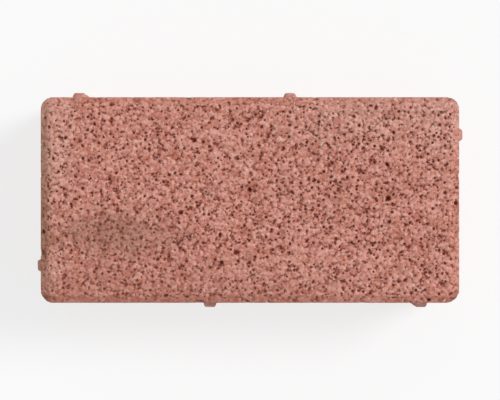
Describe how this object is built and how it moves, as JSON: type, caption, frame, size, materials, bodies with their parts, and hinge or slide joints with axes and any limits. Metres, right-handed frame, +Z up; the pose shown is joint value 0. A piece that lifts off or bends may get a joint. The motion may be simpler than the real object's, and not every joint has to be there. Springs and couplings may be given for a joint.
{
  "type": "concrete paving stone",
  "caption": "Rectangular concrete paver with a chamfered wearing face, rounded upright corners and spacer nibs on its sides.",
  "frame": {"origin": "middle of the bed face, at the height of the ground it lies on", "axes": "+X along the stone's length, +Y across its width, +Z up to the wearing face"},
  "size_m": [0.202, 0.102, 0.06],
  "materials": {
    "red_concrete": "matt, open-grained pressed concrete, through-coloured salmon red"
  },
  "bodies": {
    "root": {"paving_stone": "red_concrete"}
  },
  "joints": []
}
